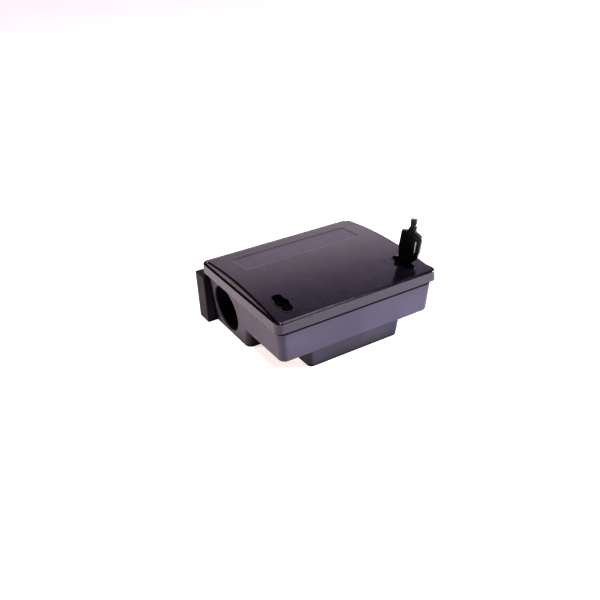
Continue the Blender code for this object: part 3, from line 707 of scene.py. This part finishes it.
def make_key():
    turn = Matrix.Rotation(KEY_TURN, 4, "Z")
    stand = Matrix.Rotation(math.radians(90), 4, "X")
    place = Matrix.Translation(mm(LOCK_X, LOCK_Y, KEY_SEAT)) @ turn @ stand
    key = outline_plate("key_grip", key_outlines(), KEY_THICKNESS)
    pocket = [(-1.4, 9.5), (10.6, 9.5), (12.6, 30.5), (12.6, 38.6), (-0.2, 38.2), (-1.6, 28.0),
              (-2.6, 21.0)]
    for side in (-1, 1):
        panel = outline_plate("panel", [pocket], 1.4)
        panel.data.transform(Matrix.Translation(mm(0.0, 0.0, side * KEY_THICKNESS / 2)))
        cut(key, panel)
    key.data.transform(place)
    soften(key, lambda edge: edge.calc_face_angle(0.0) > 0.5, 0.35, 2)
    join(key, arm_ribs(place))
    shank = cylinder("shank", SHANK_RADIUS, (LOCK_X, LOCK_Y, BARREL_TOP - 8.0),
                     (LOCK_X, LOCK_Y, KEY_SEAT + 2.0), 40)
    bit = block("bit", (-6.4, 6.4, -1.5, 1.5), BARREL_TOP - BIT_DEPTH, BARREL_TOP + 1.5)
    bit.data.transform(Matrix.Translation(mm(LOCK_X, LOCK_Y, 0.0)) @ turn)
    join(key, shank, bit)
    key.name = "key_body"
    smooth_shade(key, 40)
    return key


# ---- materials ------------------------------------------------------------------------
class Shade:
    """Builds one procedural material, node by node."""

    def __init__(self, name):
        self.material = bpy.data.materials.new(name)
        self.material.use_nodes = True
        self.tree = self.material.node_tree
        self.shader = self.tree.nodes["Principled BSDF"]
        self.place = self.tree.nodes.new("ShaderNodeTexCoord").outputs["Object"]

    def link(self, value, socket):
        if isinstance(value, bpy.types.NodeSocket):
            self.tree.links.new(value, socket)
        else:
            socket.default_value = value

    def stretched(self, scale):
        """The place scaled differently along the axes."""
        mapping = self.tree.nodes.new("ShaderNodeMapping")
        mapping.inputs["Scale"].default_value = scale
        self.tree.links.new(self.place, mapping.inputs[0])
        return mapping.outputs[0]

    def noise(self, scale, detail=4.0, roughness=0.5, distortion=0.0, place=None):
        node = self.tree.nodes.new("ShaderNodeTexNoise")
        self.link(place or self.place, node.inputs["Vector"])
        node.inputs["Scale"].default_value = scale
        node.inputs["Detail"].default_value = detail
        node.inputs["Roughness"].default_value = roughness
        node.inputs["Distortion"].default_value = distortion
        return node.outputs[0]

    def cells(self, scale, feature="F1", place=None):
        node = self.tree.nodes.new("ShaderNodeTexVoronoi")
        node.feature = feature
        self.link(place or self.place, node.inputs["Vector"])
        node.inputs["Scale"].default_value = scale
        return node.outputs["Distance"]

    def spread(self, value, low, high, to_low=0.0, to_high=1.0, smooth=False):
        """Map low..high to to_low..to_high, clamped."""
        node = self.tree.nodes.new("ShaderNodeMapRange")
        if smooth:
            node.interpolation_type = "SMOOTHSTEP"
        for socket, number in zip(node.inputs, (value, low, high, to_low, to_high)):
            self.link(number, socket)
        return node.outputs[0]

    def math(self, operation, a, b=0.0):
        node = self.tree.nodes.new("ShaderNodeMath")
        node.operation = operation
        for socket, number in zip(node.inputs, (a, b)):
            self.link(number, socket)
        return node.outputs[0]

    def both(self, *masks):
        """Where all the masks hold."""
        total = masks[0]
        for mask in masks[1:]:
            total = self.math("MULTIPLY", total, mask)
        return total

    def either(self, *masks):
        """Where any of the masks holds."""
        total = masks[0]
        for mask in masks[1:]:
            total = self.math("MAXIMUM", total, mask)
        return total

    def faint(self, mask, strength):
        return self.math("MULTIPLY", mask, strength)

    def above(self, value, level, ramp):
        """0 below a level, rising to 1 over the ramp after it, both in millimetres."""
        return self.spread(value, mm(level), mm(level + ramp))

    def below(self, value, level, ramp):
        """1 below a level, falling to 0 over the ramp after it, both in millimetres."""
        return self.spread(value, mm(level), mm(level + ramp), 1.0, 0.0)

    def mix(self, factor, a, b):
        """A colour between a and b."""
        node = self.tree.nodes.new("ShaderNodeMix")
        node.data_type = "RGBA"
        self.link(factor, node.inputs[0])
        for value, socket in ((a, node.inputs[6]), (b, node.inputs[7])):
            self.link(value if isinstance(value, bpy.types.NodeSocket) else (*value, 1.0), socket)
        return node.outputs[2]

    def axes(self):
        node = self.tree.nodes.new("ShaderNodeSeparateXYZ")
        self.tree.links.new(self.place, node.inputs[0])
        return node.outputs

    def normal_axes(self):
        node = self.tree.nodes.new("ShaderNodeSeparateXYZ")
        self.tree.links.new(self.tree.nodes.new("ShaderNodeTexCoord").outputs["Normal"],
                            node.inputs[0])
        return node.outputs

    def ring(self, centre, radius, width):
        """1 on a circle about an upright axis at centre, 0 away from it."""
        x, y, _ = self.axes()
        dx = self.math("SUBTRACT", x, mm(centre[0]))
        dy = self.math("SUBTRACT", y, mm(centre[1]))
        reach = self.math("SQRT", self.math("ADD", self.both(dx, dx), self.both(dy, dy)))
        off = self.math("ABSOLUTE", self.math("SUBTRACT", reach, mm(radius)))
        return self.spread(off, 0.0, mm(width), 1.0, 0.0, smooth=True)

    def sheltered(self, distance):
        """0 in corners and under overhangs, 1 in the open."""
        node = self.tree.nodes.new("ShaderNodeAmbientOcclusion")
        node.samples = 8
        node.inputs["Distance"].default_value = mm(distance)
        return node.outputs["AO"]

    def edges(self, radius):
        """0 on flat ground, rising where a bevel of this radius would turn the normal."""
        bevel = self.tree.nodes.new("ShaderNodeBevel")
        bevel.samples = 4
        bevel.inputs["Radius"].default_value = mm(radius)
        flat = self.tree.nodes.new("ShaderNodeNewGeometry").outputs["Normal"]
        turn = self.tree.nodes.new("ShaderNodeVectorMath")
        turn.operation = "DOT_PRODUCT"
        self.tree.links.new(bevel.outputs[0], turn.inputs[0])
        self.tree.links.new(flat, turn.inputs[1])
        return self.spread(turn.outputs["Value"], 0.93, 0.998, 1.0, 0.0)

    def bump(self, *layers):
        """Stack bump layers (height, strength, distance in mm)."""
        normal = None
        for height, strength, distance in layers:
            node = self.tree.nodes.new("ShaderNodeBump")
            node.inputs["Strength"].default_value = strength
            node.inputs["Distance"].default_value = mm(distance)
            self.link(height, node.inputs["Height"])
            if normal:
                self.link(normal, node.inputs["Normal"])
            normal = node.outputs[0]
        self.link(normal, self.shader.inputs["Normal"])

    def set(self, name, value):
        socket = self.shader.inputs[name]
        if isinstance(value, tuple) and socket.type == "RGBA":
            value = (*value, 1.0)
        self.link(value, socket)


def scratches(shade, scale, turn, width):
    """Fine straight marks: cell borders of a space stretched along one line."""
    mapping = shade.tree.nodes.new("ShaderNodeMapping")
    mapping.inputs["Rotation"].default_value = (0.3, 0.15, math.radians(turn))
    mapping.inputs["Scale"].default_value = (1.0, 14.0, 5.0)
    shade.tree.links.new(shade.place, mapping.inputs[0])
    lines = shade.cells(scale, "DISTANCE_TO_EDGE", mapping.outputs[0])
    marks = shade.spread(lines, 0.0, width, 1.0, 0.0)
    where = shade.spread(shade.noise(scale * 0.8, 2.0), 0.56, 0.68)
    return shade.both(marks, where)


def plastic(name, colour, worn, roughness, grain):
    """Moulded black plastic: grain, slow colour drift, scuffs and lighter worn edges."""
    shade = Shade(name)
    drift = shade.noise(14.0, 3.0)
    fine = shade.noise(1800.0, 2.0)
    wear = shade.both(shade.edges(0.7), shade.spread(shade.noise(90.0, 5.0), 0.45, 0.7))
    marks = scratches(shade, 38.0, 24.0, 0.012)
    lighter = tuple(part * 1.35 for part in colour)
    base = shade.mix(shade.spread(drift, 0.3, 0.7), colour, lighter)
    pale = shade.either(shade.faint(wear, 0.55), shade.faint(marks, 0.35))
    shade.set("Base Color", shade.mix(pale, base, worn))
    haze = shade.spread(shade.noise(26.0, 4.0, 0.6), 0.3, 0.7,
                        roughness - GLOSS_SPREAD, roughness + GLOSS_SPREAD)
    shade.set("Roughness", shade.math("ADD", haze, shade.faint(marks, 0.12)))
    shade.bump((shade.noise(9.0, 2.0), 0.25, 0.35), (fine, grain, 0.02),
               (shade.noise(420.0, 3.0), grain, 0.03))
    return shade


def lid_gloss(shade):
    """Kill the shine on the ledge beside the roof, and dull the gables over it."""
    _, _, upward = shade.normal_axes()
    x, _, height = shade.axes()
    gable = shade.both(shade.spread(upward, 0.15, 0.45, 1.0, 0.0),
                       shade.above(height, SKIRT_TOP + 0.6, 0.7))
    ledge = shade.both(shade.above(height, SKIRT_TOP - 2.4, 0.8),
                       shade.below(height, SKIRT_TOP + 0.6, 0.7),
                       shade.above(shade.math("ABSOLUTE", x), LID_WIDTH / 2 - 4.2, 0.6))
    shade.set("Specular IOR Level",
              shade.spread(shade.either(ledge, shade.faint(gable, 0.65)), 0.0, 1.0, 0.5, 0.04))


def lid_colour(shade, marks):
    """Near black; painted paler on the skirt's upright faces, with worn edges, dust and painted
    shade in corners.
    """
    drift = shade.spread(shade.noise(11.0, 3.0), 0.3, 0.7)
    cloud = shade.spread(shade.noise(34.0, 3.0, 0.6, 1.6), 0.42, 0.66)
    base = shade.mix(drift, (0.0045, 0.0035, 0.0060), (0.0065, 0.0050, 0.0080))
    base = shade.mix(cloud, base, (0.0100, 0.0080, 0.0120))
    _, _, upward = shade.normal_axes()
    _, _, height = shade.axes()
    # Painted light: upright faces below the skirt's top are painted paler, standing in for the
    # light they catch.
    skirt = shade.both(shade.spread(upward, 0.15, 0.45, 1.0, 0.0),
                       shade.below(height, SKIRT_TOP - 2.7, 1.0))
    base = shade.mix(skirt, base, (0.036, 0.030, 0.040))
    wear = shade.both(shade.edges(0.6), shade.spread(shade.noise(120.0, 5.0), 0.42, 0.7))
    dust = shade.spread(shade.noise(3000.0, 1.0), 0.70, 0.78)
    pale = shade.either(shade.faint(wear, 0.6), shade.faint(marks, 0.25),
                        shade.faint(dust, 0.25))
    base = shade.mix(pale, base, (0.105, 0.095, 0.115))
    # Painted shade: ambient occlusion within 4 mm darkens creases and gaps towards black.
    occlusion_shade = shade.spread(shade.sheltered(4.0), 0.5, 0.9, 1.0, 0.0)
    shade.set("Base Color", shade.mix(occlusion_shade, base, (0.002, 0.002, 0.002)))


def lid_plastic():
    """Glossy lid: moulding flow, a gate mark with faint rings, dust and fine scratches."""
    shade = Shade("lid_plastic")
    gate = (0.0, FRONT + GATE_BEHIND_FRONT)
    marks = shade.either(scratches(shade, 30.0, 20.0, 0.010),
                         scratches(shade, 44.0, -38.0, 0.008))
    lid_gloss(shade)
    lid_colour(shade, marks)
    rings = shade.either(*(shade.ring(gate, radius, 2.6) for radius in (6.0, 12.5, 20.0)))
    _, _, upward = shade.normal_axes()
    inside = shade.spread(upward, -0.1, 0.0, 1.0, 0.0)
    flow = shade.noise(26.0, 3.0, 0.55, 1.3, shade.stretched((1.0, 1.6, 1.0)))
    haze = shade.spread(flow, 0.32, 0.68, 0.09, 0.19)
    for extra in (shade.faint(rings, 0.06), shade.faint(inside, 0.30), shade.faint(marks, 0.15)):
        haze = shade.math("ADD", haze, extra)
    shade.set("Roughness", haze)
    dimple = shade.ring(gate, 0.0, 2.2)
    shade.bump((shade.noise(7.0, 2.0), 0.5, 0.5), (shade.noise(36.0, 2.0, 0.5, 1.2), 0.45, 0.45),
               (rings, 0.5, 0.08), (dimple, 1.0, 0.3), (shade.noise(1500.0, 2.0), 0.2, 0.01))
    return shade.material


def label_plastic(name, light):
    """The sunk panel, or at a higher light the line round it, whose paler colour is a painted
    highlight on its edge: fine matte spark texture.
    """
    shade = Shade(name)
    drift = shade.spread(shade.noise(22.0, 3.0), 0.3, 0.7)
    fine = shade.spread(shade.noise(2600.0, 2.0), 0.3, 0.7)
    low, high, grain = (tuple(part * light for part in colour) for colour in
                        ((0.034, 0.029, 0.039), (0.042, 0.036, 0.048), (0.052, 0.044, 0.059)))
    shade.set("Base Color", shade.mix(fine, shade.mix(drift, low, high), grain))
    shade.set("Roughness", shade.spread(shade.noise(60.0, 3.0), 0.3, 0.7, 0.36, 0.42))
    shade.bump((fine, 0.35, 0.03))
    return shade.material


def base_plastic():
    """Matte housing, darker on its wings, with painted shade in its corners and under its shelf,
    and a painted shadow just under the lid.
    """
    shade = plastic("base_plastic", (0.046, 0.043, 0.058), (0.15, 0.14, 0.16), 0.52, 0.35)
    undarkened = shade.shader.inputs["Base Color"].links[0].from_socket
    x, y, height = shade.axes()
    wing = shade.both(shade.above(y, FRONT + WING_FRONT - 1.0, 0.8),
                      shade.spread(shade.math("ABSOLUTE", x), mm(96.0), mm(117.0), 0.0, 0.78))
    # Painted shadow: the wall just under the lid's skirt is darkened, for the shadow the skirt
    # casts.
    under_lid_shadow = shade.both(shade.above(height, 66.6, 0.8), shade.below(y, 93.0, 1.0),
                           shade.spread(wing, 0.0, 0.1, 1.0, 0.0))
    # Painted shade: ambient occlusion darkens corners and faces under the shelf (50 mm), and seams
    # (8 mm).
    occlusion_shade = shade.spread(shade.sheltered(50.0), 0.25, 0.75, 1.0, 0.0)
    seam_shade = shade.spread(shade.sheltered(8.0), 0.5, 0.92, 1.0, 0.0)
    # The wings darken, and the painted shadow and painted shade go towards near black, with less
    # shine.
    dark = shade.either(wing, under_lid_shadow, occlusion_shade, seam_shade)
    shade.set("Base Color", shade.mix(dark, undarkened, (0.005, 0.003, 0.003)))
    shade.set("Specular IOR Level", shade.spread(dark, 0.0, 1.0, 0.26, 0.08))
    return shade.material


def key_plastic():
    shade = plastic("key_plastic", (0.0010, 0.0009, 0.0011), (0.03, 0.03, 0.033), 0.20, 0.12)
    return shade.material


# Paler plastic for the key arm's outer edge: its colour is a painted highlight; its worn edges are
# wear.
def arm_highlight_plastic():
    shade = plastic("arm_highlight_plastic", (0.07, 0.07, 0.08), (0.22, 0.22, 0.23), 0.34, 0.2)
    return shade.material


def lock_plastic():
    shade = plastic("lock_plastic", (0.006, 0.0055, 0.0065), (0.06, 0.06, 0.065), 0.45, 0.15)
    return shade.material


def tray_plastic():
    """Slightly milky dark grey, for the tray and the baffle."""
    shade = plastic("tray_plastic", (0.060, 0.062, 0.066), (0.20, 0.20, 0.20), 0.42, 0.2)
    return shade.material


def steel():
    """Drawn steel with streaks and a few rust spots."""
    shade = Shade("steel")
    streaks = shade.noise(220.0, 3.0, 0.6, 0.0, shade.stretched((0.06, 1.0, 1.0)))
    rust = shade.spread(shade.noise(70.0, 6.0, 0.65), 0.60, 0.74)
    base = shade.mix(shade.spread(streaks, 0.3, 0.7), (0.42, 0.42, 0.43), (0.60, 0.60, 0.61))
    shade.set("Base Color", shade.mix(rust, base, (0.23, 0.12, 0.06)))
    shade.set("Metallic", shade.spread(rust, 0.0, 1.0, 1.0, 0.35))
    shade.set("Roughness", shade.spread(streaks, 0.3, 0.7, 0.24, 0.38))
    shade.bump((streaks, 0.25, 0.02), (rust, 0.4, 0.04))
    return shade.material


def bait():
    """Waxy green-blue bait blocks with grain showing through."""
    shade = Shade("bait")
    grains = shade.spread(shade.cells(420.0), 0.15, 0.42, 1.0, 0.0)
    speck = shade.spread(shade.noise(300.0, 4.0), 0.52, 0.66)
    drift = shade.spread(shade.noise(60.0, 4.0), 0.3, 0.7)
    wax = shade.mix(drift, (0.035, 0.20, 0.17), (0.06, 0.29, 0.24))
    wax = shade.mix(shade.faint(grains, 0.5), wax, (0.14, 0.36, 0.28))
    shade.set("Base Color", shade.mix(shade.faint(speck, 0.6), wax, (0.30, 0.33, 0.20)))
    shade.set("Roughness", shade.spread(drift, 0.0, 1.0, 0.42, 0.6))
    shade.set("Subsurface Weight", 0.15)
    shade.set("Subsurface Radius", (0.002, 0.003, 0.002))
    shade.bump((grains, 0.6, 0.25), (shade.noise(700.0, 4.0), 0.4, 0.12))
    return shade.material


def dress(thing, material):
    thing.data.materials.clear()
    thing.data.materials.append(material)


def panel_faces(lid, panel, frame_line):
    """Give the sunk panel and the line round it their own materials."""
    lid.data.materials.append(panel)
    lid.data.materials.append(frame_line)
    for face in lid.data.polygons:
        x, y, z = (part * 1000 for part in face.center)
        behind = y - FRONT
        inside = (abs(x) < LABEL_HALF_WIDTH + LABEL_FRAME
                  and LABEL_FRONT - LABEL_FRAME < behind < LABEL_REAR + LABEL_FRAME)
        if inside and face.normal.z > 0.9:
            below = roof_level(behind) - z
            if abs(below - LABEL_DEPTH) < 0.12:
                face.material_index = 1
            elif abs(below - LABEL_FRAME_DEPTH) < 0.12:
                face.material_index = 2


def arm_highlight_faces(key, material):
    """Give the outer edge of the key's sprung arm a paler colour, a painted highlight for the
    light that edge catches.
    """
    outward = Vector((math.cos(KEY_TURN), math.sin(KEY_TURN), 0.0))
    hub = Vector(mm(LOCK_X, LOCK_Y, 0.0))
    key.data.materials.append(material)
    for face in key.data.polygons:
        reach = (face.center - hub).dot(outward)
        if (face.normal.dot(outward) > 0.3 and reach > mm(19.0)
                and mm(KEY_SEAT + 9.0) < face.center.z < mm(KEY_SEAT + 36.5)):
            face.material_index = 1


# ---- the object -----------------------------------------------------------------------
def dress_nodes():
    """Give the pieces that keep their CAD shapes soft edges and a material."""
    tray = tray_plastic()
    steel_bits = steel()
    lock = lock_plastic()
    wax = bait()
    own = {"base": LOOKS["base"], "lid": LOOKS["lid"], "key": LOOKS["key"],
           "tunnel_baffle": tray, "bait_tray": tray}
    for name, thing in nodes.items():
        if name in own:
            dress(thing, own[name])
        elif name.startswith("bait_block"):
            dress(thing, wax)
        elif name.startswith(("lock_barrel", "lock_keeper")):
            dress(thing, lock)
        else:
            dress(thing, steel_bits)
        smooth_shade(thing, 35)
        soft = thing.modifiers.new("soft", "BEVEL")
        soft.width = mm(0.35)
        soft.segments = 2
        soft.limit_method = "ANGLE"
        soft.angle_limit = math.radians(35)


make_camera()
make_floor()
make_world()
area_light("key_light", (0.72, -1.05, 1.41), (0.0, 0.0, 0.05), (0.5, 0.5), 6.0,
           (0.95, 0.93, 1.0))
area_light("overhead", (0.3, -0.1, 1.9), (0.0, 0.0, 0.0), (1.2, 1.2), 12.0, (1.0, 0.95, 1.0))
area_light("top_front", (-0.45, -0.75, 1.70), (0.0, 0.0, 0.05), (0.35, 0.35), 16.0,
           (1.0, 0.98, 1.0))
area_light("front_fill", (2.13, -1.43, 0.55), (0.0, 0.0, 0.04), (0.8, 0.8), 150.0,
           (0.84, 0.85, 1.0))
area_light("left_fill", (-2.1, 0.9, 0.45), (0.0, 0.0, 0.04), (0.8, 0.6), 54.0,
           (1.0, 0.82, 0.76))

LOOKS = {"base": base_plastic(), "lid": lid_plastic(), "key": key_plastic()}
dress_nodes()

for piece, node in ((make_base(), "base"), (make_lid(), "lid"), (make_key(), "key")):
    dress(piece, LOOKS[node])
    if node == "lid":
        # The line round the panel is painted twice as light, a painted highlight on the panel's
        # edge.
        panel_faces(piece, label_plastic("panel_plastic", 1.0), label_plastic("line_highlight_plastic", 2.0))
    if node == "key":
        # The key arm's outer edge gets a painted highlight.
        arm_highlight_faces(piece, arm_highlight_plastic())
    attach(piece, node)
    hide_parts(node)
